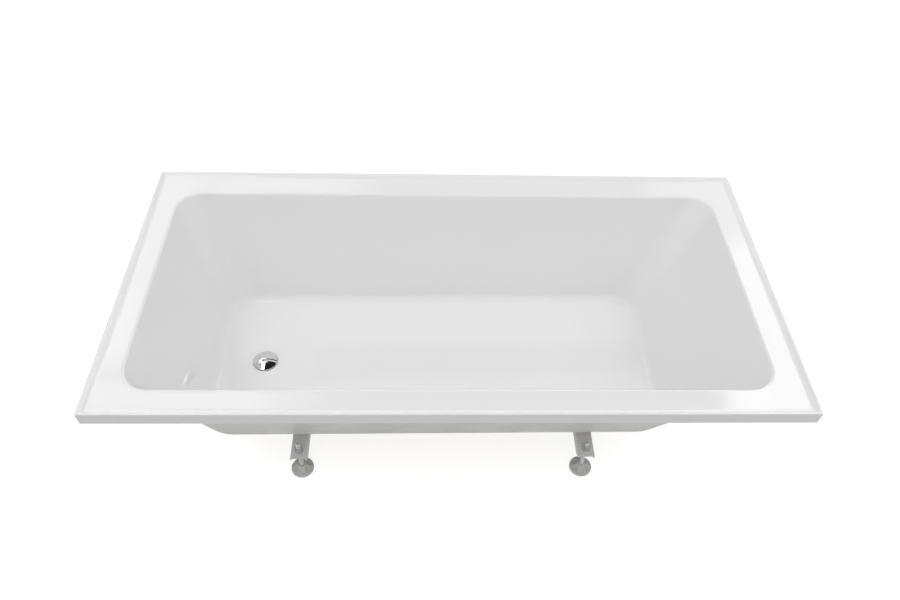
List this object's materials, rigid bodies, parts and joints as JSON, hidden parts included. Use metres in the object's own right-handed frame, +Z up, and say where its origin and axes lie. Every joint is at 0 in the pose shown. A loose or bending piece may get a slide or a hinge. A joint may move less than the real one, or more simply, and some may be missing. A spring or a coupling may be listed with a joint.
{
  "type": "inset bathtub",
  "caption": "White inset bath with a raised bead round a flat rim, a rounded rectangular basin, one sloping backrest, a chromed push-button waste and levelling feet.",
  "frame": {"origin": "on the floor that the feet stand on, under the middle of the rim", "axes": "+X along the bath from the waste end to the backrest, +Y to the wall side, +Z up"},
  "size_m": [1.52, 0.76, 0.44],
  "materials": {
    "acrylic": "polished white acrylic",
    "glass_fibre": "rough glass fibre and resin",
    "board": "bare chipboard",
    "batten": "sawn softwood",
    "chrome": "polished chrome plate",
    "rubber": "matt black rubber",
    "white_plastic": "moulded white plastic",
    "brass": "turned brass",
    "spring_steel": "bright spring wire",
    "bar_coat": "white powder coat",
    "zinc": "bright zinc plate"
  },
  "bodies": {
    "tub": {"acrylic_shell": "acrylic", "glass_fibre_backing": "glass_fibre", "base_board": "board", "rim_batten_front": "batten", "rim_batten_back": "batten", "rim_batten_waste_end": "batten", "rim_batten_backrest_end": "batten", "waste_body": "chrome", "waste_gasket_upper": "rubber", "waste_gasket_lower": "rubber", "waste_slip_washer": "white_plastic", "waste_backnut": "brass", "plug_cartridge": "brass", "plug_spring": "spring_steel", "leg_bar_waste_end": "bar_coat", "leg_bar_backrest_end": "bar_coat", "leg_bar_screws": "zinc", "foot_washers": "zinc"},
    "plug": {"plug_plunger": "brass", "plug_cap": "chrome", "plug_seal": "rubber"},
    "foot_front_left": {"foot_rod_front_left": "zinc", "foot_pad_front_left": "white_plastic"},
    "nut_under_front_left": {"adjusting_nut_front_left": "zinc"},
    "nut_over_front_left": {"lock_nut_front_left": "zinc"},
    "foot_back_left": {"foot_rod_back_left": "zinc", "foot_pad_back_left": "white_plastic"},
    "nut_under_back_left": {"adjusting_nut_back_left": "zinc"},
    "nut_over_back_left": {"lock_nut_back_left": "zinc"},
    "foot_front_right": {"foot_rod_front_right": "zinc", "foot_pad_front_right": "white_plastic"},
    "nut_under_front_right": {"adjusting_nut_front_right": "zinc"},
    "nut_over_front_right": {"lock_nut_front_right": "zinc"},
    "foot_back_right": {"foot_rod_back_right": "zinc", "foot_pad_back_right": "white_plastic"},
    "nut_under_back_right": {"adjusting_nut_back_right": "zinc"},
    "nut_over_back_right": {"lock_nut_back_right": "zinc"}
  },
  "joints": [
    {"name": "plug_slide", "type": "slide", "parent": "tub", "child": "plug", "axis": [0, 0, 1], "range_m": [0, 0.009], "deforming": ["plug_spring"]},
    {"name": "foot_slide_front_left", "type": "slide", "parent": "tub", "child": "foot_front_left", "axis": [0, 0, 1], "range_m": [-0.015, 0.02]},
    {"name": "adjusting_nut_turn_front_left", "type": "hinge", "parent": "tub", "child": "nut_under_front_left", "pos_m": [-0.37, -0.256, 0.09], "axis": [0, 0, 1], "continuous": true},
    {"name": "lock_nut_turn_front_left", "type": "hinge", "parent": "tub", "child": "nut_over_front_left", "pos_m": [-0.37, -0.256, 0.09], "axis": [0, 0, 1], "continuous": true},
    {"name": "foot_slide_back_left", "type": "slide", "parent": "tub", "child": "foot_back_left", "axis": [0, 0, 1], "range_m": [-0.015, 0.02]},
    {"name": "adjusting_nut_turn_back_left", "type": "hinge", "parent": "tub", "child": "nut_under_back_left", "pos_m": [-0.37, 0.256, 0.09], "axis": [0, 0, 1], "continuous": true},
    {"name": "lock_nut_turn_back_left", "type": "hinge", "parent": "tub", "child": "nut_over_back_left", "pos_m": [-0.37, 0.256, 0.09], "axis": [0, 0, 1], "continuous": true},
    {"name": "foot_slide_front_right", "type": "slide", "parent": "tub", "child": "foot_front_right", "axis": [0, 0, 1], "range_m": [-0.015, 0.02]},
    {"name": "adjusting_nut_turn_front_right", "type": "hinge", "parent": "tub", "child": "nut_under_front_right", "pos_m": [0.34, -0.256, 0.09], "axis": [0, 0, 1], "continuous": true},
    {"name": "lock_nut_turn_front_right", "type": "hinge", "parent": "tub", "child": "nut_over_front_right", "pos_m": [0.34, -0.256, 0.09], "axis": [0, 0, 1], "continuous": true},
    {"name": "foot_slide_back_right", "type": "slide", "parent": "tub", "child": "foot_back_right", "axis": [0, 0, 1], "range_m": [-0.015, 0.02]},
    {"name": "adjusting_nut_turn_back_right", "type": "hinge", "parent": "tub", "child": "nut_under_back_right", "pos_m": [0.34, 0.256, 0.09], "axis": [0, 0, 1], "continuous": true},
    {"name": "lock_nut_turn_back_right", "type": "hinge", "parent": "tub", "child": "nut_over_back_right", "pos_m": [0.34, 0.256, 0.09], "axis": [0, 0, 1], "continuous": true}
  ],
  "couplings": [
    {"joint": "adjusting_nut_turn_front_left", "follows": "foot_slide_front_left", "rad_per_m": -4188.8},
    {"joint": "lock_nut_turn_front_left", "follows": "foot_slide_front_left", "rad_per_m": -4188.8},
    {"joint": "adjusting_nut_turn_back_left", "follows": "foot_slide_back_left", "rad_per_m": -4188.8},
    {"joint": "lock_nut_turn_back_left", "follows": "foot_slide_back_left", "rad_per_m": -4188.8},
    {"joint": "adjusting_nut_turn_front_right", "follows": "foot_slide_front_right", "rad_per_m": -4188.8},
    {"joint": "lock_nut_turn_front_right", "follows": "foot_slide_front_right", "rad_per_m": -4188.8},
    {"joint": "adjusting_nut_turn_back_right", "follows": "foot_slide_back_right", "rad_per_m": -4188.8},
    {"joint": "lock_nut_turn_back_right", "follows": "foot_slide_back_right", "rad_per_m": -4188.8}
  ]
}
